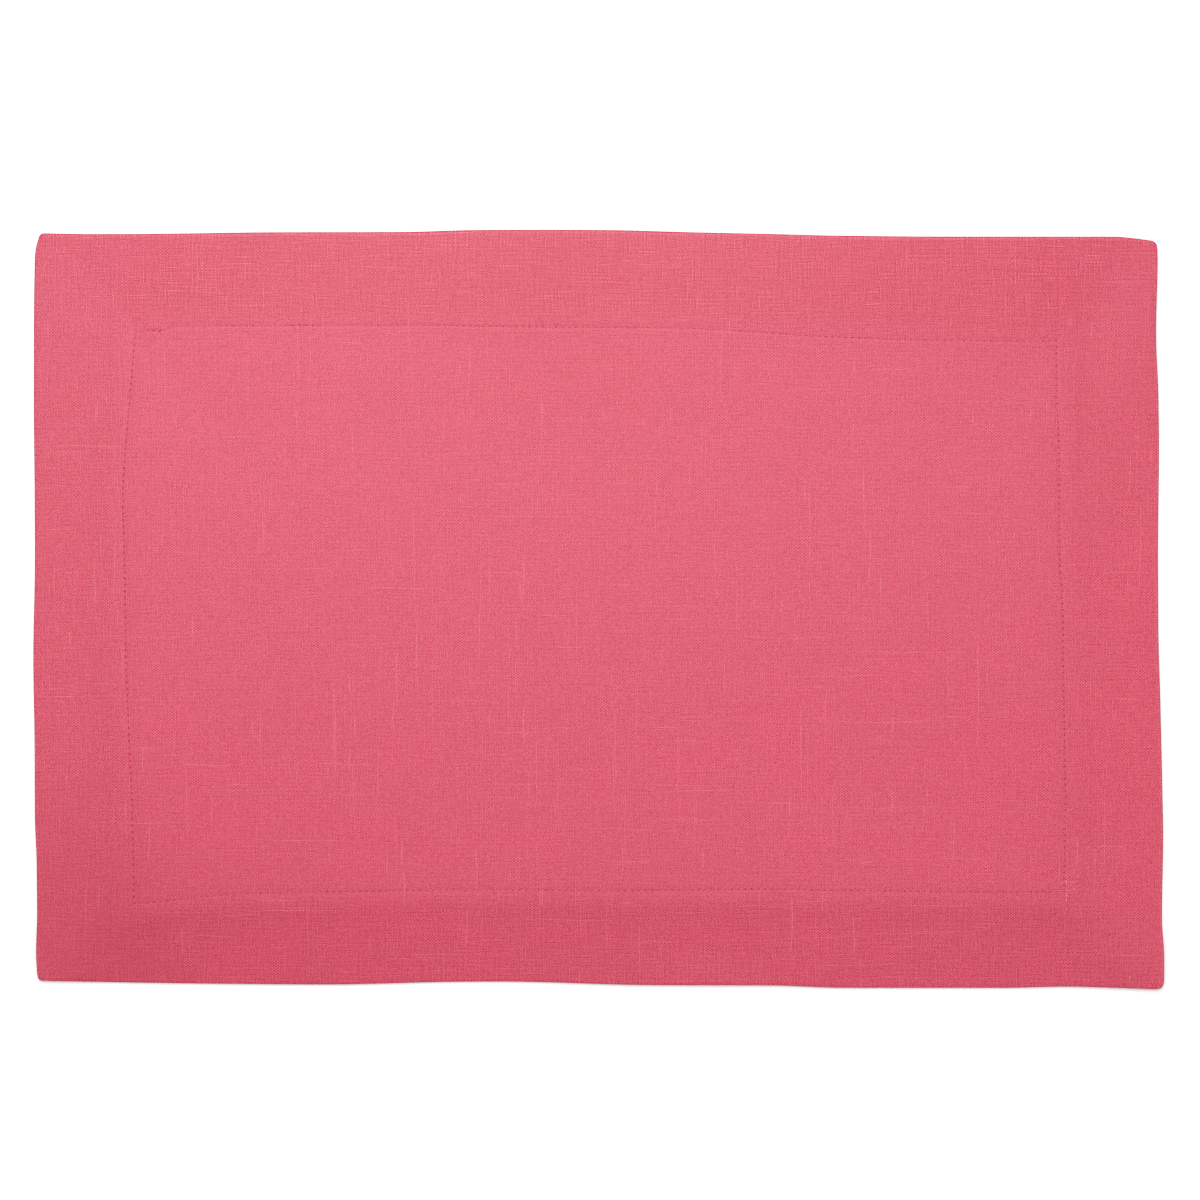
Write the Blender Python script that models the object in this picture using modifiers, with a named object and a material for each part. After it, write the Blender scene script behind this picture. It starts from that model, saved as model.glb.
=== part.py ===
# Fabric placemat: one cloth of plain-woven linen, hemmed all round and lying face up.
#
# Metres, +Z up. The origin is on the surface that the mat lies on, under the middle of
# its bounding box. +X runs along the long sides and +Y towards the far long side.
# The hem is turned to the underside, so the border is the thicker part of the one solid.

import math

import bmesh
import bpy
import numpy as np

MM = 0.001

# Driving sizes
LENGTH = 457 * MM
WIDTH = 305 * MM
CORNER_RADIUS = 1.7 * MM

# Cloth thickness
FULL_THICKNESS = 2.0 * MM    # a vertex weight of 1 stands for this thickness
FOLD_ROUNDING = 0.5 * MM     # the folded outer edge, above and below
FOLD_SEGMENTS = 3

# The four sides. "along" runs from the side's middle towards +X or +Y, "out" is how far
# the folded edge strays outwards from the plain rectangle, and "hem" is the depth from
# the folded edge to the row of stitching. All are in mm.
FAR_SIDE = (
    {"along": -229, "out": 0.1, "hem": 39.9},
    {"along": -188, "out": 0.2, "hem": 39.8},
    {"along": -160, "out": 0.4, "hem": 39.3},
    {"along": -148, "out": 0.5, "hem": 37.6},
    {"along": -80, "out": 1.0, "hem": 37.9},
    {"along": -20, "out": 1.9, "hem": 39.6},
    {"along": 35, "out": 1.0, "hem": 39.2},
    {"along": 95, "out": -0.5, "hem": 41.2},
    {"along": 150, "out": -0.9, "hem": 42.4},
    {"along": 215, "out": -0.9, "hem": 42.5},
    {"along": 229, "out": -1.8, "hem": 42.5},
)
NEAR_SIDE = (
    {"along": -229, "out": -1.6, "hem": 31.0},
    {"along": -190, "out": -0.9, "hem": 32.0},
    {"along": -150, "out": -0.4, "hem": 36.2},
    {"along": -110, "out": 0.0, "hem": 37.8},
    {"along": -40, "out": -1.2, "hem": 37.8},
    {"along": 20, "out": 0.3, "hem": 38.5},
    {"along": 70, "out": 0.5, "hem": 39.3},
    {"along": 110, "out": 1.4, "hem": 39.4},
    {"along": 165, "out": 1.4, "hem": 38.9},
    {"along": 195, "out": 0.9, "hem": 38.8},
    {"along": 229, "out": 1.8, "hem": 38.8},
)
LEFT_SIDE = (
    {"along": -153, "out": -0.6, "hem": 39.6},
    {"along": -124, "out": 0.0, "hem": 39.6},
    {"along": -84, "out": 0.8, "hem": 39.4},
    {"along": -20, "out": 1.4, "hem": 37.4},
    {"along": 22, "out": 0.7, "hem": 36.1},
    {"along": 45, "out": 0.8, "hem": 35.6},
    {"along": 87, "out": 1.2, "hem": 38.9},
    {"along": 115, "out": 1.1, "hem": 40.8},
    {"along": 144, "out": 0.7, "hem": 41.0},
    {"along": 153, "out": -1.4, "hem": 41.0},
)
RIGHT_SIDE = (
    {"along": -153, "out": 1.4, "hem": 40.6},
    {"along": -124, "out": 0.7, "hem": 40.2},
    {"along": -75, "out": 0.9, "hem": 39.5},
    {"along": -40, "out": 0.0, "hem": 39.3},
    {"along": -5, "out": -0.7, "hem": 38.9},
    {"along": 22, "out": -1.0, "hem": 40.0},
    {"along": 65, "out": -0.6, "hem": 40.7},
    {"along": 87, "out": -0.8, "hem": 41.3},
    {"along": 112, "out": -1.9, "hem": 40.4},
    {"along": 144, "out": -1.2, "hem": 40.4},
    {"along": 153, "out": -1.9, "hem": 40.4},
)

# Thickness in mm at a distance in mm beyond the row of stitching, negative towards the
# middle: one layer in the middle, the stitches' groove, the ridge of the raw edge that
# is turned in, then the two layers of the hem.
CLOTH_SECTION = (
    {"beyond": -14.0, "thick": 1.00},
    {"beyond": -2.5, "thick": 1.10},
    {"beyond": 0.0, "thick": 1.00},
    {"beyond": 1.8, "thick": 1.55},
    {"beyond": 6.5, "thick": 1.75},
    {"beyond": 9.5, "thick": 1.45},
    {"beyond": 24.0, "thick": 1.40},
    {"beyond": 36.0, "thick": 1.50},
)

# Lines of the mesh, as shares: 0 is the folded edge and 1 the row of stitching in a hem,
# and 0 and 1 are the two rows of stitching in the middle.
HEM_SHARES = (0.0, CORNER_RADIUS / (39 * MM), 0.15, 0.38, 0.60, 0.76, 0.84, 0.95)
LONG_MIDDLE_LINES = 27
SHORT_MIDDLE_LINES = 17
BESIDE_ROW = 0.012           # share of the middle between the row and the next line

# Finish, read from the photograph
CORAL_PINK = (0.66, 0.115, 0.165, 1.0)
CLOTH_ROUGHNESS = 0.92


def row_slopes(spots, values):
    """Slope of the curve at each row: level at a crest or hollow, so that none overshoots."""
    chords = np.diff(values) / np.diff(spots)
    before = chords[:-1]
    after = chords[1:]
    same_way = before * after > 0
    total = np.where(same_way, before + after, 1.0)
    inner = np.where(same_way, 2 * before * after / total, 0.0)
    return np.array([chords[0], *inner, chords[-1]])


def smooth_value(table, column, along):
    """One column's value in mm at a place in metres, on a smooth curve through the rows."""
    spots = np.array([row["along"] for row in table], dtype=float) * MM
    values = np.array([row[column] for row in table], dtype=float)
    slopes = row_slopes(spots, values)
    place = float(np.clip(along, spots[0], spots[-1]))
    k = int(np.clip(np.searchsorted(spots, place) - 1, 0, len(spots) - 2))
    span = spots[k + 1] - spots[k]
    t = (place - spots[k]) / span
    start = (1 + 2 * t) * (1 - t) ** 2 * values[k] + t * (1 - t) ** 2 * span * slopes[k]
    end = t * t * (3 - 2 * t) * values[k + 1] + t * t * (t - 1) * span * slopes[k + 1]
    return float(start + end)


def fold_line(table, half, along):
    """Distance of the folded edge from the middle of the mat."""
    return half + smooth_value(table, "out", along) * MM


def stitch_line(table, half, along):
    """Distance of the row of stitching from the middle of the mat."""
    return fold_line(table, half, along) - smooth_value(table, "hem", along) * MM


def across(low_side, high_side, half, station, along):
    """Place across the mat: stations 0 to 1 cross a hem, 1 to 2 the middle, 2 to 3 a hem."""
    low_fold = -fold_line(low_side, half, along)
    low_row = -stitch_line(low_side, half, along)
    high_row = stitch_line(high_side, half, along)
    high_fold = fold_line(high_side, half, along)
    return float(np.interp(station, (0, 1, 2, 3), (low_fold, low_row, high_row, high_fold)))


def stations(middle_lines):
    """Stations of the mesh lines from one folded edge to the other."""
    inner = [1 + BESIDE_ROW, *np.linspace(1, 2, middle_lines)[1:-1], 2 - BESIDE_ROW]
    high = [3 - share for share in reversed(HEM_SHARES)]
    return [*HEM_SHARES, 1.0, *inner, 2.0, *high]


def crossing(station_x, station_y):
    """Where a line from near to far meets a line from left to right."""
    x = 0.0
    y = 0.0
    for _ in range(8):
        x = across(LEFT_SIDE, RIGHT_SIDE, LENGTH / 2, station_x, y)
        y = across(NEAR_SIDE, FAR_SIDE, WIDTH / 2, station_y, x)
    return x, y


def beyond_row(x, y):
    """Distance outside the ring of stitching, negative inside it."""
    return max(
        -x - stitch_line(LEFT_SIDE, LENGTH / 2, y),
        x - stitch_line(RIGHT_SIDE, LENGTH / 2, y),
        -y - stitch_line(NEAR_SIDE, WIDTH / 2, x),
        y - stitch_line(FAR_SIDE, WIDTH / 2, x),
    )


def thickness(x, y):
    """Thickness of the cloth and its hem layers at a point of the mat."""
    places = [row["beyond"] * MM for row in CLOTH_SECTION]
    thicks = [row["thick"] * MM for row in CLOTH_SECTION]
    return float(np.interp(beyond_row(x, y), places, thicks))


def round_corners(columns, rows, vertex_at):
    """Draw each corner vertex in, so that the corner turns over three points."""
    inset = CORNER_RADIUS * (1 - math.sqrt(0.5))
    for i, inward_x in ((0, 1), (columns - 1, -1)):
        for j, inward_y in ((0, 1), (rows - 1, -1)):
            corner = vertex_at[i, j]
            corner.co.x += inward_x * inset
            corner.co.y += inward_y * inset


def make_sheet():
    """The flat underside as an open grid that follows the folded edges and the stitching."""
    stations_x = stations(LONG_MIDDLE_LINES)
    stations_y = stations(SHORT_MIDDLE_LINES)
    columns = len(stations_x)
    rows = len(stations_y)
    sheet = bmesh.new()
    bmesh.ops.create_grid(sheet, x_segments=columns - 1, y_segments=rows - 1, size=1)
    vertex_at = {}
    for vertex in sheet.verts:
        i = round((vertex.co.x + 1) / 2 * (columns - 1))
        j = round((vertex.co.y + 1) / 2 * (rows - 1))
        vertex_at[i, j] = vertex
    for (i, j), vertex in vertex_at.items():
        x, y = crossing(stations_x[i], stations_y[j])
        vertex.co = (x, y, 0.0)
    round_corners(columns, rows, vertex_at)
    return sheet


def centre_on_box(sheet):
    """Put the middle of the outline's box over the origin."""
    xs = [vertex.co.x for vertex in sheet.verts]
    ys = [vertex.co.y for vertex in sheet.verts]
    middle = ((min(xs) + max(xs)) / 2, (min(ys) + max(ys)) / 2)
    bmesh.ops.translate(sheet, verts=sheet.verts, vec=(-middle[0], -middle[1], 0))


def linen_material():
    """Matt coral-pink linen."""
    material = bpy.data.materials.new("linen")
    material.use_nodes = True
    shader = material.node_tree.nodes["Principled BSDF"]
    shader.inputs["Base Color"].default_value = CORAL_PINK
    shader.inputs["Roughness"].default_value = CLOTH_ROUGHNESS
    shader.inputs["Metallic"].default_value = 0.0
    material.diffuse_color = CORAL_PINK
    return material


def make_placemat(collection):
    """The cloth: the open sheet, thickened by its layers and rounded at the fold."""
    sheet = make_sheet()
    weights = [thickness(v.co.x, v.co.y) / FULL_THICKNESS for v in sheet.verts]
    centre_on_box(sheet)
    mesh = bpy.data.meshes.new("placemat")
    sheet.to_mesh(mesh)
    sheet.free()

    placemat = bpy.data.objects.new("placemat", mesh)
    collection.objects.link(placemat)
    mesh.materials.append(linen_material())

    layers = placemat.vertex_groups.new(name="layers")
    for index, weight in enumerate(weights):
        layers.add([index], weight, "REPLACE")

    solidify = placemat.modifiers.new("cloth and hem layers", "SOLIDIFY")
    solidify.thickness = FULL_THICKNESS
    solidify.offset = 1.0
    solidify.vertex_group = layers.name

    fold = placemat.modifiers.new("rounded fold", "BEVEL")
    fold.width = FOLD_ROUNDING
    fold.segments = FOLD_SEGMENTS
    fold.limit_method = "ANGLE"
    fold.angle_limit = math.radians(60)

    mesh.shade_smooth()
    return placemat


def main():
    for old in list(bpy.data.objects):
        bpy.data.objects.remove(old)
    collection = bpy.data.collections.new("fabric_placemat")
    bpy.context.scene.collection.children.link(collection)
    make_placemat(collection)


main()
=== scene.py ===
# A coral-pink linen placemat with a wide stitched hem, lying face up on a white table.
# The dictionaries and tables hold millimetres, and everything in Blender is in metres.
import math

import bpy
import numpy as np
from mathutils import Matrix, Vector, noise
from mathutils.bvhtree import BVHTree


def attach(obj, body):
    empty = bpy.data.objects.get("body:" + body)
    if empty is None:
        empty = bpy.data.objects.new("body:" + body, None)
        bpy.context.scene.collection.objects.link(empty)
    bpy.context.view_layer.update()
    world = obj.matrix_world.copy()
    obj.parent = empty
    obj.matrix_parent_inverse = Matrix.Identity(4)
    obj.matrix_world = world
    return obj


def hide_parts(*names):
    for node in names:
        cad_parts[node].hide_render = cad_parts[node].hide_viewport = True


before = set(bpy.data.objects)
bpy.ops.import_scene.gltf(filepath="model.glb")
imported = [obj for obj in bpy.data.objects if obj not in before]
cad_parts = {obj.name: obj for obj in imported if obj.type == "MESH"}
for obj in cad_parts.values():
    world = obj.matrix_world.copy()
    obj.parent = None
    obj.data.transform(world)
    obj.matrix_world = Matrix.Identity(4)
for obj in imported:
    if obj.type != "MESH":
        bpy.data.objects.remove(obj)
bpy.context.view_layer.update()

mm = 0.001


mat = {
    "length": 457,
    "width": 305,
    "cutLength": 549,         # of the flat linen, with the hems
    "cutWidth": 397,
    "cutArea": 0.216,         # square metres, less the corners cut off for the mitres
    "cornerRadius": {"left near": 2.0, "left far": 1.7, "right near": 3.2, "right far": 2.2},
    "layer": 0.45,            # thickness of the linen
    "air": 0.05,              # between two layers that are sewn together
    "longStitches": 140,      # along the far and near sides
    "shortStitches": 88,      # along the left and right sides
    "hemEdge": 1.3,           # from the row of stitching in to the hem's inner fold
    "turnedIn": 7.4,          # from the row out to the raw edge inside the hem
    "rollRadius": 0.475,      # of the outer fold, to the middle of the cloth
    "innerRadius": 0.25,      # of the hem's inner fold
}

# "along" a side, how far the fold strays "out" from the plain rectangle, depth of the "hem"
farSide = (
    (-229, 0.6, 40.4), (-208, 0.2, 39.9), (-188, 0.2, 39.8), (-178, 0.3, 39.3), (-169, 0.4, 37.7),
    (-130, 0.9, 38.0), (-80, 1.0, 37.9), (-50, 1.8, 39.1), (-20, 1.9, 39.6), (5, 1.8, 39.7),
    (35, 1.0, 39.2), (80, 0.0, 40.8), (95, -0.4, 41.3), (150, -0.8, 42.5), (209, -0.8, 42.6),
    (229, -2.9, 41.4),
)
nearSide = (
    (-229, -1.5, 30.9), (-190, -0.7, 32.0), (-150, -0.1, 36.3), (-110, 0.2, 37.8), (-58, -0.9, 37.3),
    (-40, -1.0, 37.3), (20, 0.4, 38.4), (70, 0.6, 39.2), (100, 1.6, 39.6), (165, 1.6, 38.9),
    (190, 1.1, 38.8), (212, 1.6, 38.8), (229, 2.2, 39.0),
)
leftSide = (
    (-153, -0.6, 39.9), (-139, 0.3, 40.5), (-124, -0.1, 39.8), (-103, 0.1, 39.5), (-84, 0.8, 39.7),
    (-55, 0.9, 38.6), (-20, 1.4, 37.7), (22, 0.7, 36.4), (45, 0.8, 35.9), (87, 1.2, 39.2),
    (115, 1.2, 41.2), (144, 0.8, 41.4), (153, -1.2, 41.3),
)
rightSide = (
    (-153, 1.8, 40.7), (-142, 1.9, 40.9), (-126, 1.0, 40.2), (-92, 1.5, 40.1), (-75, 1.2, 39.5),
    (-40, 0.4, 39.4), (-5, -0.5, 38.8), (22, -0.6, 40.1), (65, -0.2, 40.8), (87, -0.5, 41.3),
    (112, -1.5, 40.5), (144, -0.8, 40.5), (153, -1.6, 40.5),
)
tables = {"near": nearSide, "right": rightSide, "far": farSide, "left": leftSide}
sides = tuple(tables)                        # in the order that the thread goes round
longSides = ("near", "far")
halfOf = {side: (mat["width"] if side in longSides else mat["length"]) / 2 * mm for side in sides}
stitchesOf = {side: mat["longStitches" if side in longSides else "shortStitches"] for side in sides}

meshLines = {
    # from the outer fold, for a hem of the nominal depth; the row of stitching comes next
    "hem": (0.7, 1.7, 3.3, 6.0, 9.0, 12.0, 15.0, 18.0, 21.0, 24.0, 26.7, 29.0,
            30.6, 31.6, 33.2, 35.0, 36.6, 37.7, 38.4),
    "nominalHem": 39.0,
    "beside": (0.5, 1.3, 2.2, 3.7),           # from the row in towards the middle
    "fineBand": 3,            # lines each way from the row that have a point in mid-stitch
    "rounds": 8,              # of fitting the lines to the bowed sides
}


def curveThrough(table, column):
    # a smooth curve through one column, level at its crests so that none overshoots
    spots = np.array([row[0] for row in table], float) * mm
    values = np.array([row[column] for row in table], float) * mm
    chords = np.diff(values) / np.diff(spots)
    before, after = chords[:-1], chords[1:]
    total = np.where(before * after > 0, before + after, 1.0)
    inner = np.where(before * after > 0, 2 * before * after / total, 0.0)
    slopes = np.concatenate(([chords[0]], inner, [chords[-1]]))

    def valueAt(along):
        place = np.clip(along, spots[0], spots[-1])
        k = np.clip(np.searchsorted(spots, place) - 1, 0, len(spots) - 2)
        span = spots[k + 1] - spots[k]
        t = (place - spots[k]) / span
        rise = (1 + 2 * t) * (1 - t) ** 2 * values[k] + t * (1 - t) ** 2 * span * slopes[k]
        fall = t * t * (3 - 2 * t) * values[k + 1] + t * t * (t - 1) * span * slopes[k + 1]
        return rise + fall

    return valueAt


outAt = {side: curveThrough(tables[side], 1) for side in sides}
hemAt = {side: curveThrough(tables[side], 2) for side in sides}


def foldAt(side, along):
    return halfOf[side] + outAt[side](along)


def rowAt(side, along):
    return foldAt(side, along) - hemAt[side](along)


def across(low, high, station, along):
    # stations 0 to 1 cross a hem, 1 to 2 the middle and 2 to 3 the other hem
    lowFold, lowRow = -foldAt(low, along), -rowAt(low, along)
    highRow, highFold = rowAt(high, along), foldAt(high, along)
    hem = lowFold + station * (lowRow - lowFold)
    middle = lowRow + (station - 1) * (highRow - lowRow)
    other = highRow + (station - 2) * (highFold - highRow)
    return np.where(station <= 1, hem, np.where(station <= 2, middle, other))


def planPlace(stationX, stationY):
    x = np.zeros(np.broadcast(stationX, stationY).shape)
    y = x.copy()
    for _ in range(meshLines["rounds"]):
        x = across("left", "right", stationX, y)
        y = across("near", "far", stationY, x)
    return x, y


def sideView(side, x, y):
    # (along the side, outwards from the middle) of a place
    along, out = (x, y) if side in longSides else (y, x)
    return along, (out if side in ("far", "right") else -out)


def fromSide(side, along, out):
    # the place at a distance along a side and outwards
    outwards = out if side in ("far", "right") else -out
    return (along, outwards) if side in longSides else (outwards, along)


def stations(stitches, middle):
    hem = [line / meshLines["nominalHem"] for line in meshLines["hem"]]
    beside = [line / middle for line in meshLines["beside"]]
    holes = [n / stitches for n in range(2, stitches - 1)]     # all but the end ones
    inner = [*beside, *holes, *(1 - share for share in reversed(beside))]
    high = [3 - share for share in reversed(hem)]
    return np.array([*hem, 1.0, *(1 + share for share in inner), 2.0, *high])


def roundCorners(x, y):
    # draws each corner of the sheet in to a quarter of a circle
    for sideX, signX in (("left", -1), ("right", 1)):
        for sideY, signY in (("near", -1), ("far", 1)):
            radius = mat["cornerRadius"][sideX + " " + sideY] * mm
            px = signX * x - foldAt(sideX, y) + radius
            py = signY * y - foldAt(sideY, x) + radius
            inside = (px > 0) & (py > 0)
            shrink = np.where(inside, np.maximum(px, py) / (np.hypot(px, py) + 1e-12), 1.0)
            x = x + signX * px * (shrink - 1)
            y = y + signY * py * (shrink - 1)
    return x, y


stationX = stations(mat["longStitches"], mat["length"] - 2 * meshLines["nominalHem"])
stationY = stations(mat["shortStitches"], mat["width"] - 2 * meshLines["nominalHem"])
columns, rows = len(stationX), len(stationY)
rowLine = len(meshLines["hem"])                        # index of the line of stitching
hemEdgeLine = rowLine + 1 + meshLines["beside"].index(mat["hemEdge"])
rawLine = max(k for k, line in enumerate(meshLines["hem"])
              if meshLines["nominalHem"] - line >= mat["turnedIn"])
gridX, gridY = planPlace(stationX[:, None], stationY[None, :])
ends = [rowLine, -1 - rowLine]                         # the two rows across either way
low, high = ends
rowEnds = {                                            # along each side, in metres
    "near": gridX[ends, low], "far": gridX[ends, high],
    "left": gridY[low, ends], "right": gridY[high, ends],
}
gridX, gridY = roundCorners(gridX, gridY)


def reachOf(side):
    # the furthest that a side bows out, away from its corners
    half, places = (220, 89) if side in longSides else (150, 61)
    return foldAt(side, np.linspace(-half, half, places) * mm).max()


# moves the pieces so that the middle of the mat's box is at the origin
centreOnBox = Vector((reachOf("left") - reachOf("right"), reachOf("near") - reachOf("far"), 0)) / 2
print("cloth: laid out", columns, "by", rows, "lines")


def stitchPlace(side, x, y):
    # (stitches along the row, distance beyond the row)
    along, out = sideView(side, x, y)
    start, end = rowEnds[side]
    return (along - start) / (end - start) * stitchesOf[side], out - rowAt(side, along)


def beyondEach(x, y):
    return np.array([stitchPlace(side, x, y)[1] for side in sides])


def beyondRow(x, y):
    return beyondEach(x, y).max(axis=0)


relief = {
    # face height at a distance beyond the row of stitching: the single layer that lies on the
    # table and slopes up to the hem, the drawn-in row, the turned-in edge and the two layers
    "section": (
        (-90, 0.56), (-56, 0.58), (-40, 0.70), (-20, 1.02), (-9, 1.20), (-3.4, 1.31),
        (-1.2, 1.36), (0.0, 1.36), (0.9, 1.39), (2.4, 1.44), (5.6, 1.49), (7.6, 1.48),
        (10.5, 1.44), (15, 1.42), (24, 1.41), (34, 1.42), (42, 1.40),
    ),
    "dimple": 0.10,           # at each needle hole
    "dimpleRadius": 0.60,
    "hemFrom": (0.5, 4),      # beyond the row, where the hem's waves start and are in full
    "middleWaves": ((24, 0.035, 3.1), (9, 0.022, 4.1)),     # (size, height, seed)
    "hemWaves": ((16, 0.055, 8.4), (6, 0.035, 9.4)),
    "underWaves": ((14, 0.07, 21.3),),
    "underFrom": (2, 12),     # as "hemFrom", for the back
    "underRow": (0.22, 1.0),  # height and width of the back's drawn-up line along the row
    "mitre": (0.25, 0.9),     # depth and width of the mitre's seam in the back
    "creaseEnds": 0.35,       # share of its depth that a crease keeps at its ends
}

# where an edge stands off the table: centre x, y, reach x, y and height
edgeLifts = (
    (230, 114, 34, 60, 0.6),
    (231, -155, 44, 40, 0.6),
    (-231, -153, 36, 30, 0.5),
    (40, -154, 60, 16, 0.35),
)

# creases, listed: start x, y, end x, y, width and depth (a trough is negative)
creases = (
    (-212.8, 143.1, -200.6, 129.7, 2.6, -0.16),
    (-225.8, -150.2, -200.6, -141.6, 2.8, -0.13),
    (-200.6, -141.6, -185.6, -133.5, 2.4, -0.15),
    (-221.4, -124.6, -227.1, -149.0, 3.0, -0.12),
    (197.6, 97.5, 197.9, 76.8, 2.6, -0.10),
    (209.4, 150.8, 209.2, 132.9, 2.6, -0.10),
    (150.8, 123.6, 150.6, 113.8, 2.4, -0.09),
    (137.0, 139.9, 137.3, 121.1, 2.8, -0.08),
    (196.4, -112.4, 227.3, -116.4, 2.6, -0.10),
    (213.0, -140.0, 191.0, -118.0, 3.0, -0.08),
)
sectionHeight = curveThrough(relief["section"], 1)


def waves(x, y, size, seed):
    # smooth noise from about -1 to 1 in waves about twice "size" mm long
    scale = 1 / (size * mm)
    flat = [noise.noise(Vector((a * scale, b * scale, seed))) for a, b in zip(x.flat, y.flat)]
    return np.array(flat).reshape(x.shape)


def waveSum(table, x, y):
    return sum(amount * waves(x, y, size, seed) for size, amount, seed in table)


def smoothStep(low, high, value):
    t = np.clip((value - low) / (high - low), 0, 1)
    return t * t * (3 - 2 * t)


def bell(distance, width):
    return np.exp(-((distance / width) ** 2))


def holeDistance(x, y):
    nearest = np.full(np.shape(x), 1.0)
    for side in sides:
        count, beyond = stitchPlace(side, x, y)
        start, end = rowEnds[side]
        hole = np.clip(np.round(count), 0, stitchesOf[side])
        apart = (count - hole) * (end - start) / stitchesOf[side]
        nearest = np.minimum(nearest, np.hypot(apart, beyond))
    return nearest


def lifts(x, y):
    height = np.zeros(np.shape(x))
    for cx, cy, reachX, reachY, rise in edgeLifts:
        away = ((x - cx * mm) / (reachX * mm)) ** 2 + ((y - cy * mm) / (reachY * mm)) ** 2
        height += rise * mm * np.maximum(0.0, 1 - away) ** 2
    return height


def creaseHeight(x, y):
    height = np.zeros(np.shape(x))
    for ax, ay, bx, by, width, rise in creases:
        runX, runY = (bx - ax) * mm, (by - ay) * mm
        t = ((x - ax * mm) * runX + (y - ay * mm) * runY) / (runX ** 2 + runY ** 2)
        t = np.clip(t, 0, 1)
        away = np.hypot(x - ax * mm - t * runX, y - ay * mm - t * runY)
        fade = relief["creaseEnds"] + (1 - relief["creaseEnds"]) * np.sin(math.pi * t)
        height += rise * mm * fade * bell(away, width * mm / 2)
    return height


def faceHeight(x, y):
    # top of the linen, without the lifts of the edge
    beyond = beyondRow(x, y)
    inHem = smoothStep(*relief["hemFrom"], beyond / mm)
    height = (1 - inHem) * waveSum(relief["middleWaves"], x, y)
    height += inHem * waveSum(relief["hemWaves"], x, y)
    height -= relief["dimple"] * bell(holeDistance(x, y), relief["dimpleRadius"] * mm)
    return sectionHeight(beyond) + height * mm + creaseHeight(x, y)


def underHeight(x, y):
    # bottom of the hem's back layer, which lies on the table
    beyond = beyondRow(x, y) / mm
    rise, width = relief["underRow"]
    height = rise * bell(beyond, width)
    height += np.abs(waveSum(relief["underWaves"], x, y)) * smoothStep(*relief["underFrom"], beyond)
    return height * mm


def newMesh(name, points, faces):
    mesh = bpy.data.meshes.new(name)
    mesh.from_pydata([tuple(p) for p in points], [], faces)
    return mesh


def newObject(name, data, location):
    thing = bpy.data.objects.new(name, data)
    bpy.context.scene.collection.objects.link(thing)
    thing.location = location
    return thing


def writeValues(layer, key, values):
    layer.data.foreach_set(key, np.asarray(values, np.float32).ravel())


def writeShade(mesh, x, y):
    writeValues(mesh.attributes.new("shade", "FLOAT_COLOR", "POINT"), "color", shadeAt(x, y))


# The cloth is one sheet, folded under and in again as it was hemmed.
def addPoints(sheet, x, y, z, part, turn=0.0):
    first = len(sheet["x"])
    for key, values in (("x", x), ("y", y), ("z", z)):
        sheet[key].extend(np.asarray(values).ravel().tolist())
    sheet["part"].extend([part] * np.size(x))
    sheet["turn"].extend([turn] * np.size(x))
    return first + np.arange(np.size(x)).reshape(np.shape(x))


def addFace(sheet, corners, side):
    kept = [int(c) for n, c in enumerate(corners) if c != corners[n - 1]]
    sheet["faces"].append(kept)
    sheet["sides"].append(side)


def addStrip(sheet, before, after, stepSides):
    # faces between two loops round the mat, the second one further along the cloth
    for n, side in enumerate(stepSides):
        m = (n + 1) % len(stepSides)
        addFace(sheet, [after[n], after[m], before[m], before[n]], side)


def ring(k):
    # the loop of grid places on line k from the edge, and the side of each step along it
    lastI, lastJ = columns - 1 - k, rows - 1 - k
    path = [(i, k) for i in range(k, lastI)] + [(lastI, j) for j in range(k, lastJ)]
    path += [(i, lastJ) for i in range(lastI, k, -1)] + [(k, j) for j in range(lastJ, k, -1)]
    wide, deep = lastI - k, lastJ - k
    return path, ["near"] * wide + ["right"] * deep + ["far"] * wide + ["left"] * deep


def drawnIn(path, k):
    # the nearest places to a loop's own on line k
    return [(min(max(i, k), columns - 1 - k), min(max(j, k), rows - 1 - k)) for i, j in path]


def onPath(path, grid):
    return np.array([grid[p] for p in path])


def outwardsFrom(x, y):
    # outward directions along a closed loop that runs anticlockwise
    dx, dy = np.roll(x, -1) - np.roll(x, 1), np.roll(y, -1) - np.roll(y, 1)
    length = np.hypot(dx, dy)
    return dy / length, -dx / length


def inFineBand(index, count):
    return min(abs(index - rowLine), abs(count - 1 - rowLine - index)) <= meshLines["fineBand"]


def midStitchPoints(sheet, half):
    # extra points between the lines, beside the row of stitching
    extra = {}
    edge = rowLine + meshLines["fineBand"]
    fineColumns = [i for i in range(columns) if inFineBand(i, columns)]
    fineRows = [j for j in range(rows) if inFineBand(j, rows)]
    ways = (
        ("x", [(i, j) for i in range(edge, columns - 1 - edge) for j in fineRows], (1, 0)),
        ("y", [(i, j) for j in range(edge, rows - 1 - edge) for i in fineColumns], (0, 1)),
    )
    for way, places, (di, dj) in ways:
        x, y = (np.array([(grid[i, j] + grid[i + di, j + dj]) / 2 for i, j in places])
                for grid in (gridX, gridY))
        z = faceHeight(x, y) - half + lifts(x, y)
        for place, point in zip(places, addPoints(sheet, x, y, z, "face")):
            extra[(way, *place)] = point
    return extra


def splitCell(corners, low, high):
    # faces of a cell (a, b, c, d) with a point halfway along a-b, along d-c, or both
    a, b, c, d = corners
    if low is not None and high is not None:
        return [a, low, high, d], [low, b, c, high]
    if low is not None:
        return [a, low, d], [low, b, c, d]
    return [a, b, high, d], [b, c, high]


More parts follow.
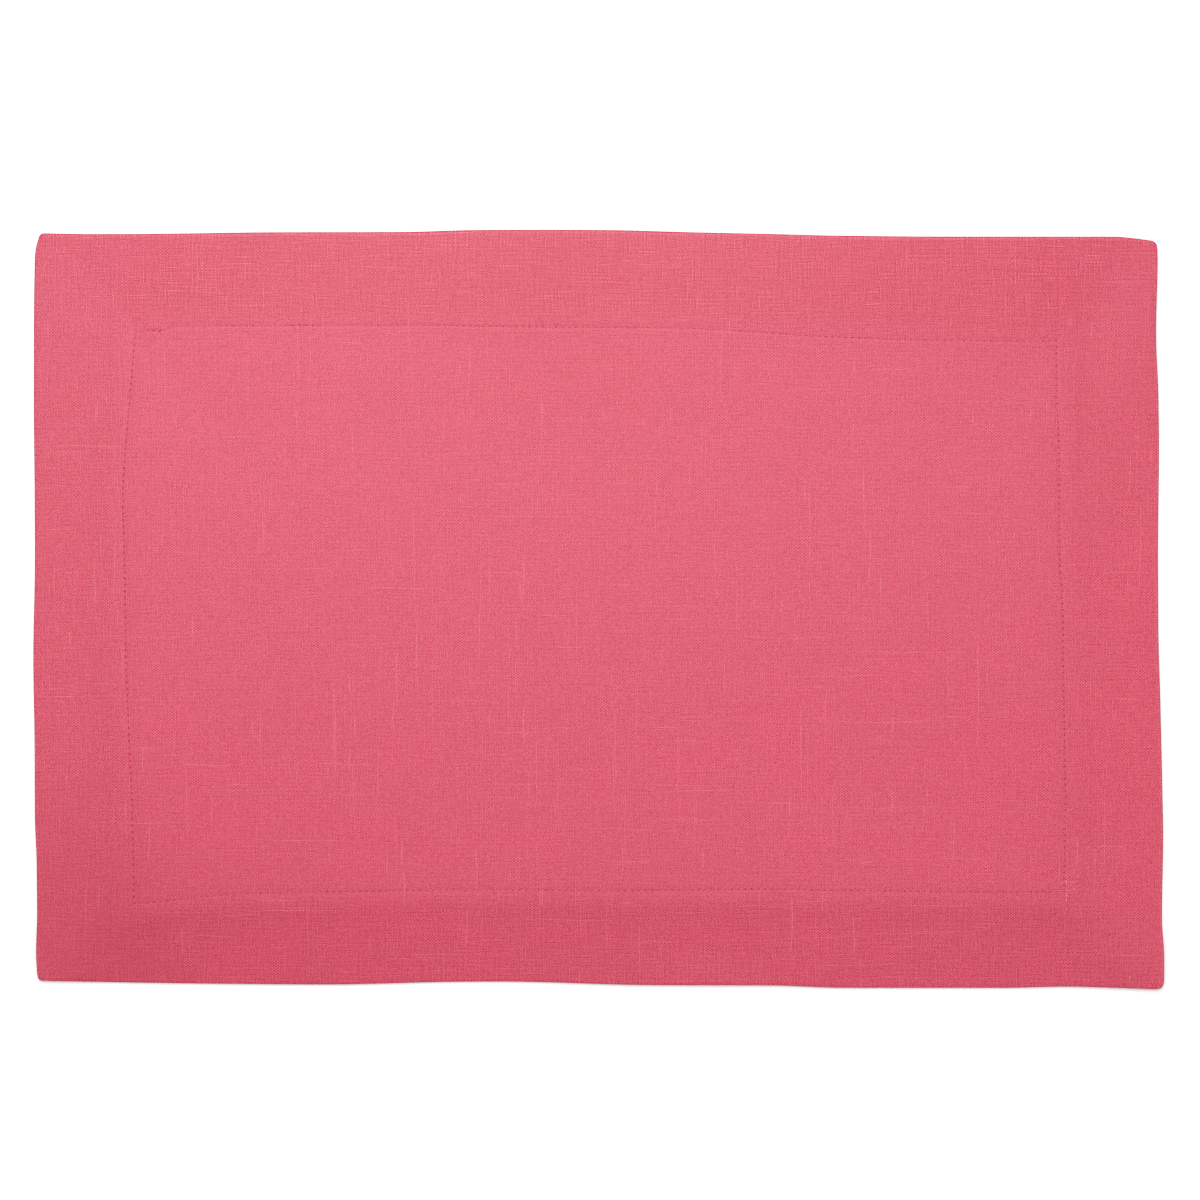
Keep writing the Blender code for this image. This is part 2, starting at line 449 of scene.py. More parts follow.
def buildFace(sheet):
    half = mat["layer"] / 2 * mm
    z = faceHeight(gridX, gridY) - half + lifts(gridX, gridY)
    ids = addPoints(sheet, gridX, gridY, z, "face")
    extra = midStitchPoints(sheet, half)
    nearest = beyondEach(gridX, gridY).argmax(axis=0)
    for i in range(columns - 1):
        for j in range(rows - 1):
            side = sides[nearest[i, j]]
            corners = [ids[i, j], ids[i + 1, j], ids[i + 1, j + 1], ids[i, j + 1]]
            low, high = extra.get(("x", i, j)), extra.get(("x", i, j + 1))
            left, right = extra.get(("y", i, j)), extra.get(("y", i + 1, j))
            if low is not None or high is not None:
                parts = splitCell(corners, low, high)
            elif left is not None or right is not None:
                parts = splitCell(corners[1:] + corners[:1], right, left)
            else:
                parts = [corners]
            for part in parts:
                addFace(sheet, part, side)
    return ids


def foldOver(sheet, loop, x, y, lowZ, radius, stepSides, part):
    # half a turn of cloth from a loop, outwards where radius is positive
    outX, outY = outwardsFrom(x, y)
    startZ = np.array([sheet["z"][v] for v in loop])
    for turn in (0.25, 0.5, 0.75):
        reach = radius * math.sin(math.pi * turn)
        z = (startZ + lowZ) / 2 + (startZ - lowZ) / 2 * math.cos(math.pi * turn)
        after = addPoints(sheet, x + outX * reach, y + outY * reach, z, part, turn)
        addStrip(sheet, loop, after, stepSides)
        loop = after
    return loop


def buildHem(sheet, faceIds):
    depthX, depthY = (np.minimum(station, 3 - station) * meshLines["nominalHem"]
                      for station in (stationX, stationY))
    rise, width = relief["mitre"]
    seam = rise * mm * bell(depthX[:, None] - depthY[None, :], width)
    middleZ = underHeight(gridX, gridY) + lifts(gridX, gridY) + mat["layer"] / 2 * mm
    backZ, turnedZ = middleZ + seam, middleZ + (mat["layer"] + mat["air"]) * mm

    def layer(line, grid, part):
        # points of one loop of a layer, by their places
        own, _ = ring(line)
        x, y = onPath(own, gridX), onPath(own, gridY)
        return zip(own, addPoints(sheet, x, y, onPath(own, grid), part))

    path, stepSides = ring(0)
    x, y = onPath(path, gridX), onPath(path, gridY)
    loop = foldOver(sheet, [faceIds[p] for p in path], x, y, onPath(path, backZ),
                    mat["rollRadius"] * mm, stepSides, "roll")
    back = {}
    for k in range(hemEdgeLine + 1):
        back.update(layer(k, backZ, "back"))
    addStrip(sheet, loop, [back[p] for p in path], stepSides)
    for k in range(hemEdgeLine):
        path, stepSides = ring(k)
        addStrip(sheet, [back[p] for p in path], [back[p] for p in drawnIn(path, k + 1)], stepSides)
    path, stepSides = ring(hemEdgeLine)
    x, y = onPath(path, gridX), onPath(path, gridY)
    loop = foldOver(sheet, [back[p] for p in path], x, y, onPath(path, turnedZ),
                    -mat["innerRadius"] * mm, stepSides, "inner")
    turned = {}
    for k in range(hemEdgeLine, rawLine - 1, -1):
        turned.update(layer(k, turnedZ, "turned"))
    addStrip(sheet, loop, [turned[p] for p in path], stepSides)
    for k in range(hemEdgeLine - 1, rawLine - 1, -1):
        path, stepSides = ring(k)
        addStrip(sheet, [turned[p] for p in drawnIn(path, k + 1)], [turned[p] for p in path], stepSides)


def flatPlace(side, part, turn, x, y):
    # the place on the flat linen, so that its yarns run on round the folds
    along, out = sideView(side, x, y)
    edge = foldAt(side, along) - meshLines["hem"][0] * mm
    inner = rowAt(side, along) - mat["hemEdge"] * mm
    rollArc, innerArc = math.pi * mat["rollRadius"] * mm, math.pi * mat["innerRadius"] * mm
    depth = np.select(
        [part == "roll", part == "back", part == "inner", part == "turned"],
        [edge + turn * rollArc, 2 * edge + rollArc - out,
         2 * edge + rollArc - inner + turn * innerArc,
         2 * edge + rollArc - 2 * inner + innerArc + out], out)
    return fromSide(side, along, depth)


def mapFaces(mesh, sheet):
    # "flat" is the place on the flat linen in metres, "row" counts stitches (from 200 on the
    # second side, 400 on the third and so on) and mm beyond them
    sideStep = 200
    corner = np.array([v for face in sheet["faces"] for v in face])
    owner = np.array([s for face, s in zip(sheet["faces"], sheet["sides"]) for _ in face])
    x, y = np.array(sheet["x"])[corner], np.array(sheet["y"])[corner]
    part, turn = np.array(sheet["part"])[corner], np.array(sheet["turn"])[corner]
    flat, row = np.zeros((len(corner), 2)), np.zeros((len(corner), 2))
    for side in sides:
        own = owner == side
        flat[own] = np.stack(flatPlace(side, part[own], turn[own], x[own], y[own]), axis=1)
        count, beyond = stitchPlace(side, x[own], y[own])
        row[own] = np.stack((count + sideStep * sides.index(side), beyond / mm), axis=1)
    onFace = part == "face"
    flat[onFace] = np.stack((x[onFace], y[onFace]), axis=1)
    for name, values in (("flat", flat), ("row", row)):
        writeValues(mesh.uv_layers.new(name=name), "uv", values)


# Tone of the dyed linen, which the hem's layers change, with patches paler or darker, painted shade
# along the stitching and at the lifted corners, and a painted highlight on the outer fold.
tone = {
    # red, green and blue of each hem beside the single layer, through which white shows
    # and how much stronger its yarns' own tones are
    "hem": {"near": (0.935, 0.80, 0.86, 1.0), "right": (0.99, 0.965, 0.95, 0.3),
            "far": (0.94, 0.73, 0.79, 2.0), "left": (0.975, 0.97, 0.95, 0.4)},
    "mitreBlend": 14,         # mm each side of a mitre over which one hem's tone meets the next
    # share added at a distance beyond the row: where the turned-in edge shows through, and painted shade
    # along the row of stitching and at the step of the turned-in edge
    "showThroughAndRowShade": ((-16, 0.0), (-6, -0.005), (-3, -0.02), (-1.2, -0.03), (0, -0.02), (1.5, -0.02),
              (4, -0.01), (7, -0.01), (9.5, -0.015), (12.5, -0.012), (17, 0.0)),
    "mottle": ((30, 0.012, 40.7), (11, 0.008, 41.7), (4.5, 0.006, 42.7)),   # (size, share, seed)
    "hemMottle": ((22, 0.012, 50.2), (8, 0.014, 51.2)),
    "hemFrom": (-0.5, 9),     # beyond the row, where the hem's tone starts and is in full
    # the outer fold is paler where the light comes over it: share of red, green and blue
    "rim": (0.03, 0.40, 0.20),
    "rimOn": {"near": 0.0, "right": 1.0, "far": 1.0, "left": 0.6},
    "rimReach": (0.7, 1.7),   # mm in from the outer fold, where it starts to fade and ends
}
# patches that are paler or darker: centre x, y, reach and share of red, green and blue; the darker ones
# at the lifted right corners are painted shade, where the lifts tilt the linen towards the key light
patches = (
    (215, 105, 60, -0.03, -0.08, -0.06),
    (105, 133, 50, -0.01, -0.065, -0.025),
    (-20, 133, 45, -0.015, -0.11, -0.07),
    (-215, 138, 30, 0.00, 0.05, 0.04),
    (0, 100, 80, -0.01, -0.04, -0.04),
    (-212, -138, 50, -0.11, -0.29, -0.21),
    (222, -130, 25, -0.02, -0.04, -0.03),
    (222, 126, 20, -0.035, -0.08, -0.05),
    (193, 141, 18, 0.018, 0.04, 0.05),
    (-200, 143, 22, 0.01, 0.06, 0.06),
    (-220, 122, 16, -0.015, -0.03, -0.03),
    (-120, -130, 65, -0.03, -0.12, -0.09),
    (0, -112, 60, -0.02, -0.06, -0.05),
    (116.2, -21.5, 2.5, 0.05, 0.12, 0.10),
    (115.1, -52.6, 2.5, 0.05, 0.12, 0.10),
    (130.9, -26.1, 2.5, 0.05, 0.12, 0.10),
)
bandAndRowShadeTone = curveThrough([(a, b / mm) for a, b in tone["showThroughAndRowShade"]], 1)      # it takes both as mm


def shadeAt(x, y):
    # tone of the linen, with painted shade and highlight in it: red, green and blue, and the strength of
    # the yarns' own tones
    beyond = beyondEach(x, y)
    outermost = beyond.max(axis=0)
    inHem = smoothStep(*tone["hemFrom"], outermost / mm)
    # the bands hold painted shade along the row of stitching
    share = 1 + bandAndRowShadeTone(outermost) + waveSum(tone["mottle"], x, y)
    share += inHem * waveSum(tone["hemMottle"], x, y)
    patchShare = np.zeros((3, *x.shape))
    for cx, cy, reach, *parts in patches:
        nearby = bell(np.hypot(x - cx * mm, y - cy * mm), reach * mm)
        patchShare += np.array([part * nearby for part in parts])
    nearness = np.clip(1 + (beyond - outermost) / (tone["mitreBlend"] * mm), 0, 1) ** 2
    nearness /= nearness.sum(axis=0)
    rim = np.zeros(x.shape)
    for side in sides:
        along, out = sideView(side, x, y)
        inwards = (foldAt(side, along) - out) / mm
        rim = np.maximum(rim, (1 - smoothStep(*tone["rimReach"], inwards)) * tone["rimOn"][side])
    shade = np.ones((*x.shape, 4))
    hemTone = np.tensordot([tone["hem"][side] for side in sides], nearness, axes=(0, 0))
    for k in range(3):
        shade[..., k] = (share + patchShare[k]) * (1 + inHem * (hemTone[k] - 1))
        shade[..., k] *= 1 + rim * tone["rim"][k]
    shade[..., 3] = 1 + inHem * hemTone[3]
    return shade


# needle holes, with painted shade in them: how dark they look, and half their width and length along the
# row
holeLooks = {
    "near": (1.02, 0.31, 0.62), "right": (1.12, 0.40, 0.55),
    "far": (1.00, 0.31, 0.66), "left": (1.20, 0.39, 0.62),
}
# where they look darker or fainter: side, from, to, darkness and half length
otherHoles = (
    ("far", -190, -186, 0.15, 0.50), ("far", -186, -176, 1.10, 0.60), ("far", -176, -155, 0.20, 0.50),
    ("far", -151, -140, 1.20, 1.15), ("far", -140, -128, 0.30, 0.60), ("far", -128, -113, 1.15, 1.15),
    ("far", -113, -90, 0.60, 0.60), ("far", -44, -15, 1.20, 0.66), ("far", 15, 60, 0.70, 0.66),
    ("far", 62, 111, 1.10, 0.70), ("far", 111, 158, 0.80, 0.66), ("near", -184, -172, 1.25, 0.62),
    ("near", -172, -140, 0.65, 0.62), ("near", -113, -84, 1.15, 1.00), ("near", -60, -36, 0.75, 0.62),
    ("near", -31, -15, 1.20, 0.66), ("near", -14, 46, 0.80, 0.62), ("near", 147, 184, 0.80, 1.20),
    ("right", -113, -70, 1.00, 0.50),
)


def holesAt(x, y):
    nearest = beyondEach(x, y).argmax(axis=0)
    holes = np.array([holeLooks[side] for side in sides])[nearest]
    for side, start, end, dark, halfLength in otherHoles:
        along, _ = sideView(side, x, y)
        inside = (along > start * mm) & (along < end * mm) & (nearest == sides.index(side))
        holes[inside, 0], holes[inside, 2] = dark, halfLength
    return holes


def makeCloth():
    sheet = {key: [] for key in ("x", "y", "z", "part", "turn", "faces", "sides")}
    buildHem(sheet, buildFace(sheet))
    mesh = newMesh("placemat_cloth", zip(sheet["x"], sheet["y"], sheet["z"]), sheet["faces"])
    mapFaces(mesh, sheet)
    x, y = np.array(sheet["x"]), np.array(sheet["y"])
    writeShade(mesh, x, y)
    writeValues(mesh.attributes.new("holes", "FLOAT_VECTOR", "POINT"), "vector", holesAt(x, y))
    mesh.shade_smooth()
    cloth = newObject("placemat_cloth", mesh, centreOnBox)
    solid = cloth.modifiers.new("thickness of the linen", "SOLIDIFY")
    solid.thickness = mat["layer"] * mm
    solid.offset = 0
    cloth.modifiers.new("even shading of the small faces", "WEIGHTED_NORMAL")
    return cloth


placemat = makeCloth()
clothTree = BVHTree.FromPolygons(
    [tuple(vertex.co) for vertex in placemat.data.vertices],
    [tuple(face.vertices) for face in placemat.data.polygons],
)
print("cloth:", len(placemat.data.polygons), "faces before its thickness")


def meshHeight(x, y):
    # top of the linen as its mesh has it, for what lies almost flush
    heights = []
    for a, b in zip(x, y):
        hit = clothTree.ray_cast(Vector((a, b, 20 * mm)), Vector((0, 0, -1)))[0]
        heights.append(hit.z if hit else 0.0)
    return np.array(heights) + mat["layer"] / 2 * mm


stitchLength = (mat["length"] - 2 * meshLines["nominalHem"]) / mat["longStitches"]       # in mm
thread = {
    "diameter": 0.24,
    "around": 6,              # faces round the thread
    "proud": -0.04,           # how far its middle stands above the linen
    "sunk": 0.24,             # how far it dips into a needle hole
    "steep": 0.8,             # a stitch is level where half a sine wave is above this
    "slant": 0.05,            # of the stitches, to and fro
    "shares": (0.0, 0.15, 0.30, 0.5, 0.70, 0.85),      # of a stitch, where it has a point
    "backHeight": 0.13,       # of the bobbin thread above the table
    "ply": (0.71, 0.108, 0.168),
    # gap: painted shade in the grooves between the plies
    "plyShade": (0.60, 0.070, 0.120),          # between the plies
    "palePly": (0.92, 0.50, 0.52),        # of the thread that runs on past a corner
    # palePlyShade: painted shade between the pale thread's plies
    "palePlyShade": (0.84, 0.38, 0.41),
    # inHole: painted shade inside a hole
    "inHole": (0.52, 0.020, 0.075),
    "twist": (1.1, 2),        # turns a mm and plies
    "bump": 0.05,
    "roughness": 0.62,
    "gloss": 0.3,
}
slip = {                      # the stitches that close the mitres on the back
    "way": (0.75, 0.35),      # their reach across the seam and along it
    "height": 0.13,
    "ends": 0.25,             # how much higher these are
}


def rowPoint(side, count):
    start, end = rowEnds[side]
    along = start + count / stitchesOf[side] * (end - start)
    return fromSide(side, along, rowAt(side, along))


def newBuild():
    return {"points": [], "faces": [], "twist": []}


def tube(build, x, y, z, radius=thread["diameter"] / 2 * mm, around=thread["around"], flatness=1.0):
    # adds a tube to the lists of build, with one radius or one for each of its points;
    # flatness is its height beside its width
    line = np.stack((x, y, z), axis=1)
    radii = np.broadcast_to(radius, len(line))
    run = np.gradient(line, axis=0)
    run /= np.linalg.norm(run, axis=1, keepdims=True)
    sideways = np.cross(run, (0, 0, 1))
    sideways /= np.linalg.norm(sideways, axis=1, keepdims=True) + 1e-12
    upwards = np.cross(sideways, run)
    lengths = np.concatenate(([0], np.cumsum(np.linalg.norm(np.diff(line, axis=0), axis=1)))) / mm
    first = len(build["points"])
    for p, s, u, r in zip(line, sideways, upwards, radii):
        for n in range(around):
            angle = 2 * math.pi * n / around
            build["points"].append(p + r * (s * math.cos(angle) + flatness * u * math.sin(angle)))
    for k in range(len(line) - 1):
        for n in range(around):
            m = (n + 1) % around
            low, high = first + k * around, first + (k + 1) * around
            build["faces"].append((low + n, low + m, high + m, high + n))
            for share, at in ((n, k), (n + 1, k), (n + 1, k + 1), (n, k + 1)):
                build["twist"].append((lengths[at], share / around))
    for k, flip in ((0, -1), (len(line) - 1, 1)):
        build["faces"].append([first + k * around + n for n in range(around)][::flip])
        build["twist"].extend([(lengths[k], 0.0)] * around)


def meshFrom(build, name, material):
    mesh = newMesh(name, build["points"], build["faces"])
    writeValues(mesh.uv_layers.new(name="twist"), "uv", build["twist"])
    mesh.materials.append(material)
    mesh.shade_smooth()
    return newObject(name, mesh, centreOnBox)


def rowOfStitches(side, onFace, build):
    total = stitchesOf[side]
    counts = np.array([n + share for n in range(total) for share in thread["shares"]] + [total], float)
    x, y = rowPoint(side, counts)
    arch = np.minimum(1.0, np.sin(math.pi * (counts % 1)) / thread["steep"])
    lean = thread["slant"] * mm * np.cos(math.pi * counts)
    x, y = (x, y + lean) if side in longSides else (x + lean, y)
    sunk = thread["sunk"] * mm
    if onFace:
        z = faceHeight(x, y) - sunk + arch * (sunk + thread["proud"] * mm)
    else:
        z = underHeight(x, y) + sunk
        z += arch * (thread["backHeight"] * mm - z)
    tube(build, x, y, z + lifts(x, y))


def mitreStitches(build):
    across, along = slip["way"]
    for i0, j0 in ((0, 0), (columns - 1, 0), (0, rows - 1), (columns - 1, rows - 1)):
        seam = [(abs(i0 - k), abs(j0 - k)) for k in range(2, rowLine)]
        spots = [(gridX[p], gridY[p]) for p in seam[::2]]
        runX, runY = spots[-1][0] - spots[0][0], spots[-1][1] - spots[0][1]
        length = math.hypot(runX, runY)
        for x, y in spots:
            t = np.linspace(-1, 1, 7)
            px = x + t * (across * -runY + along * runX) / length * mm
            py = y + t * (across * runX + along * runY) / length * mm
            tube(build, px, py, (slip["height"] + slip["ends"] * t ** 4) * mm + lifts(px, py))


# Thick places of the yarns that show clearly, listed: middle x, y, length and strength
# (3 clear and 4 a nub or the clearest).
uprightSlubs = (
    (-106.5, 118, 2, 4), (-28, 135, 23, 4), (-27.5, 147, 13, 3), (-35, 146, 15, 3), (8.8, 121, 9, 4),
    (9.5, 137, 5, 3), (52.3, 145, 8, 3), (54.3, 132, 10, 3), (-0.5, 118.5, 6, 3), (-39.3, 123, 13, 3),
    (-74.5, 129, 14, 2), (-52.5, 96.5, 22, 3), (125.5, 137.5, 24, 4), (-136.5, 32, 14, 3),
    (-221.2, 12.3, 12, 3), (-195.7, -1.5, 12, 3), (-100, 65, 19, 3), (37.3, 54.5, 11, 3),
    (-30.5, 13, 19, 3), (-63.6, 16.5, 2, 4), (63.6, 2.2, 5, 3), (110.8, 21.5, 19, 3), (216.3, 54, 17, 3),
    (-193.3, -21.5, 14, 3), (-185.2, -61.3, 12, 3), (-83.3, -43.8, 14, 3), (-192.3, -82, 8, 3),
    (-30.2, -47, 17, 4), (51.4, -27, 14, 3), (-182.6, -94, 20, 3), (-203.2, -117, 12, 3),
    (-139.9, -114.2, 3, 4), (-166.3, -139, 10, 3), (-128, -120, 7, 3), (-153.8, -123.5, 9, 2),
    (-85.8, -104, 8, 3), (-79, -114, 17, 3), (-49.5, -105, 18, 3), (-53.7, -133.5, 9, 4),
    (-53.5, -124.5, 7, 3), (-22.6, -116.5, 11, 3), (16.8, -138.7, 21, 3), (78.8, -128, 23, 4),
    (104, -133, 16, 4), (194.8, -99.5, 12, 3), (216.2, -150.4, 3.5, 4), (196.5, -124.4, 4, 3),
)
levelSlubs = (
    (-134, 138.5, 6, 4), (-54, 138.7, 1.5, 4), (48, 118.3, 22, 3), (109.4, 148.4, 9, 3),
    (-208, 66.3, 29, 3), (-174.2, 62, 2, 4), (-140.3, 50.9, 6, 3), (-219.7, 32.4, 12, 3),
    (-198, 7.8, 4, 3), (-98.2, 23.9, 11, 3), (-81.2, 8.5, 25, 3), (82, 73.9, 15, 3), (16.2, 61.5, 17, 3),
    (-37, 50.8, 11, 3), (-18, -2.6, 12, 3), (114, 20.4, 7, 3), (-200, -30.6, 13, 3),
    (-184, -56.4, 9, 3), (-160, -63.5, 22, 3), (-103, -63, 25, 3), (-11, -15.5, 14, 3),
    (28, -48.1, 12, 3), (73.5, -79, 11, 3), (184, -31, 4, 3), (-130.5, -118.6, 17, 3),
    (-127, -122.8, 31, 3), (-145, -124.5, 14, 3), (-129, -137.7, 10, 3), (-66, -140.5, 24, 2),
    (-103, -130.5, 9, 2), (12, -119.6, 5, 3), (58.3, -95, 4, 3), (85.8, -119, 11, 3),
    (109.3, -103, 6, 3), (208, -96.5, 11, 3), (211.5, -98, 1, 4),
)

slub = {
    "radius": (0.11, 0.16, 0.24, 0.32),   # by strength
    "levelShare": 0.75,       # of that in the level yarns, which are finer
    "flatness": 0.30,
    "around": 6,
    "step": 0.7,              # between its points
    "fewest": 6,              # points
    "taper": 0.4,             # towards its ends, less is blunter
    "endShare": 0.02,         # keeps its ends from a point
    "proud": 0.01,            # how far its middle stands above the linen
    "sway": (0.22, 5),        # to each side, and radians along it
    "fullSway": 15,           # length from which it sways as much
    "faintUpright": (110, 5),             # fainter ones, scattered: how many, and a seed
    "faintLevel": (80, 6),
    "faintLengths": (12, 45),
    "faintField": (448, 297),
    "clearOfRow": 2,          # so that none hides the stitches
    "crossing": 1.25,         # mm between the places where it dips under another yarn
    "dipped": 0.5,            # how far these take its tone down
    "cloudy": (1.8, 0.3, 0.7),            # clouds a mm, and the share at which it is shaded or not
    "colour": (0.79, 0.215, 0.262),
    "shaded": (0.61, 0.071, 0.121),
}


def faintSlubs(upright):
    # places and lengths of the fainter ones, as in the tables
    many, seed = slub["faintUpright" if upright else "faintLevel"]
    draw = np.random.default_rng(seed)
    faint = []
    for _ in range(many):
        length, strength = draw.uniform(*slub["faintLengths"]), draw.integers(1, 3)
        roomX, roomY = slub["faintField"]
        roomX, roomY = (roomX, roomY - length) if upright else (roomX - length, roomY)
        x, y = draw.uniform(-0.5, 0.5) * roomX, draw.uniform(-0.5, 0.5) * roomY
        if abs(beyondRow(x * mm, y * mm)) > slub["clearOfRow"] * mm:
            faint.append((x, y, length, strength))
    return faint


def slubYarn(x, y, length, strength, upright, build):
    reach = np.linspace(-0.5, 0.5, max(slub["fewest"], round(length / slub["step"])))
    along = reach * length * mm
    sway, bends = slub["sway"]
    sway = sway * mm * np.sin(reach * bends + x + y) * min(1, length / slub["fullSway"])
    px, py = (x * mm + sway, y * mm + along) if upright else (x * mm + along, y * mm + sway)
    thickest = slub["radius"][strength - 1] * (1 if upright else slub["levelShare"])
    radius = thickest * mm * (1 - (2 * reach) ** 2 + slub["endShare"]) ** slub["taper"]
    z = meshHeight(px, py) + slub["proud"] * mm
    tube(build, px, py, z, radius, slub["around"], slub["flatness"])


# Stitches that run on past the near right corner of the row: middle x, y, length and way
runOns = (
    (190.4, -111.0, 1.3, "y"), (190.4, -116.2, 1.2, "y"), (190.4, -118.5, 1.0, "y"),
    (190.4, -108.5, 0.4, "y"), (190.4, -121.9, 0.5, "y"), (193.7, -113.8, 0.5, "x"),
)
runOn = {"proud": 0.10, "ends": -0.16, "flatness": 0.7}      # its ends are that much lower
knot = {                      # near the far left corner
    "middle": (-179.8, 114.3),
    "ends": ((-181.3, 113.4), (-178.4, 113.2)),
    "height": (-0.12, 0.32),  # of its ends above the linen, and how much higher its middle is
    # hole: flat dark tubes of painted shade where the thread goes in
    "hole": (0.45, 0.34),     # half length and radius of the dark places where it goes in
    "holeProud": 0.01,
    "holeFlatness": 0.12,
}


def onLinen(x, y, above):
    return faceHeight(x, y) + lifts(x, y) + above * mm


def runOnStitches(build):
    t = np.linspace(-1, 1, 7)
    for x, y, length, way in runOns:
        step, still = t * length / 2 * mm, 0 * t
        px, py = (x * mm + step, y * mm + still) if way == "x" else (x * mm + still, y * mm + step)
        z = onLinen(px, py, runOn["proud"] + runOn["ends"] * t ** 4)
        tube(build, px, py, z, flatness=runOn["flatness"])


def knotThread(build):
    (ax, ay), (bx, by) = knot["ends"]
    mx, my = knot["middle"]
    ends, rise = knot["height"]
    t = np.linspace(0, 1, 13)
    px = ((1 - t) ** 2 * ax + 2 * t * (1 - t) * mx + t ** 2 * bx) * mm
    py = ((1 - t) ** 2 * ay + 2 * t * (1 - t) * (2 * my - ay) + t ** 2 * by) * mm
    tube(build, px, py, onLinen(px, py, ends + rise * np.sin(math.pi * t)))


# flat dark tubes of painted shade where the knot's thread goes into the linen
def knotHoles(build):
    t = np.linspace(-1, 1, 7)
    halfLength, radius = knot["hole"]
    for x, y in knot["ends"]:
        px, py = (x + halfLength * t) * mm, y * mm + 0 * t
        radii = radius * mm * (1 + slub["endShare"] - t ** 2) ** 0.5
        tube(build, px, py, onLinen(px, py, knot["holeProud"]), radii, flatness=knot["holeFlatness"])


linen = {
    "deep": (0.474, 0.0112, 0.0525),      # of a yarn's shaded parts
    "light": (0.732, 0.1180, 0.1850),     # and of its raised, hairy ones
    "deepTone": 0.2,                      # the tones that these two stand for
    "lightTone": 1.8,
    "pale": (0.80, 0.26, 0.31),           # of a slub
    # crimson: painted shade inside a needle hole
    "crimson": (0.42, 0.003, 0.040),      # inside a needle hole
    "warpPitch": 0.678,                   # from one upright yarn to the next
    "weftPitch": 0.537,
    "warpSeeds": (2.3, 13.0),             # of the yarns' spacing and of their tone
    "weftSeeds": (7.9, 31.0),
    "wander": ((28, 2.6), (150, 0.70)),   # yarns stray: (waves a metre, yarn widths)
    "uneven": (0.43, 0.40),               # their spacing: (waves a yarn, yarn widths)
    "crimp": 0.42,                        # how far a yarn sinks where it goes under
    "yarnTone": 0.07,                     # from yarn to yarn
    "alongTone": 0.95,                    # along each yarn
    "alongWaves": (0.31, 0.045),          # how that varies: waves a yarn, across and along
    "darkStreaks": 0.75,                  # a yarn's darker stretches beside its paler ones
    "paleFrom": (0.25, 1.2),              # tones between which a stretch turns pale
    "paleShare": 0.6,                     # and how pale it turns
    "crossingTone": 0.16,                 # from one crossing to the next
    # warpTone is painted light: the warp, where it is on top, lighter than the weft, as the key light
    # falls along it
    "warpTone": 0.30,                     # of the warp where it is on top, less for the weft
    "warpVary": ((0.37, 2.2), (0.05, 1.4)),      # how that varies: (waves a yarn, how much)
    "fleckTone": 0.90,                    # of the single fibres
    "hemFine": 0.12,                      # how much the last four take after the hem's streaks
    # how far red, green and blue stray, from crossing to crossing and yarn to yarn
    "tint": ((0.04, 0.14, 0.14), (0.01, 0.04, 0.04)),
    # valley: painted shade between the yarns, which fades out on their raised tops
    "valley": (0.92, 0.15, 0.85),         # tone between the yarns, which rises to 1 with height
    "slubWaves": (1.31, 0.03),            # small slubs in the weave: waves a yarn
    "slubShare": (0.76, 0.88),
    "slubLooks": (0.35, 0.7, 0.35),       # how much thicker, weaker in the weft, and paler
    "fibres": (9000, 0.25),               # waves a metre, and height beside the yarns'
    "bump": 0.02,
    "holeRim": (0.7, 1.3),                # a needle hole fades out between these shares of its size
    "roughness": 0.42,
    "gloss": 0.48,
    "sheen": (0.05, 0.5, (1.0, 0.72, 0.74)),     # weight, roughness and tint
}


# Helpers for the materials. Each finds its node tree from the first value that it gets.
def feed(socket, value):
    # from another node, or with a plain number or colour
    if isinstance(value, bpy.types.NodeSocket):
        socket.id_data.links.new(value, socket)
    else:
        socket.default_value = (*value, 1) if socket.type == "RGBA" else value


def addNode(tree, kind, *values, **settings):
    node = tree.nodes.new("ShaderNode" + kind)
    for name, setting in settings.items():
        setattr(node, name, setting)
    for socket, value in zip(node.inputs, values):
        feed(socket, value)
    return node


def calc(operation, first, *others):
    return addNode(first.id_data, "Math", first, *others, operation=operation).outputs[0]


def plus(first, *others):
    for other in others:
        first = calc("ADD", first, other)
    return first


def times(first, *others):
    for other in others:
        first = calc("MULTIPLY", first, other)
    return first


def straight(value, slope, start):
    # value * slope + start
    return calc("MULTIPLY_ADD", value, slope, start)


def strayed(value, width):
    # turns 0 to 1 into half the width each way from 0
    return straight(value, width, -width / 2)


def fromMiddle(value):
    return calc("SUBTRACT", value, 0.5)


def blendOf(share, low, high):
    # from low to high numbers by a share
    return plus(low, times(share, calc("SUBTRACT", high, low)))


def blendColour(share, low, high):
    node = addNode(share.id_data, "Mix", share, data_type="RGBA")
    feed(node.inputs[6], low)
    feed(node.inputs[7], high)
    return node.outputs[2]


def between(value, low, high, outLow=0.0, outHigh=1.0, curve="SMOOTHSTEP"):
    limits = (low, high, outLow, outHigh)
    return addNode(value.id_data, "MapRange", value, *limits, interpolation_type=curve).outputs[0]


def point(x, y, z=0.0):
    return addNode(x.id_data, "CombineXYZ", x, y, z).outputs[0]


def vectorMath(operation, first, *others):
    return addNode(first.id_data, "VectorMath", first, *others, operation=operation).outputs[0]


def cloudy(place, scale, detail=0.0):
    # a soft number and a soft colour
    node = addNode(place.id_data, "TexNoise", place)
    feed(node.inputs["Scale"], scale)
    feed(node.inputs["Detail"], detail)
    return node.outputs


def dice(place, dimensions="2D"):
    # a random number and a random colour for each whole place
    node = addNode(place.id_data, "TexWhiteNoise", noise_dimensions=dimensions)
    feed(node.inputs["W" if dimensions == "1D" else "Vector"], place)
    return node.outputs


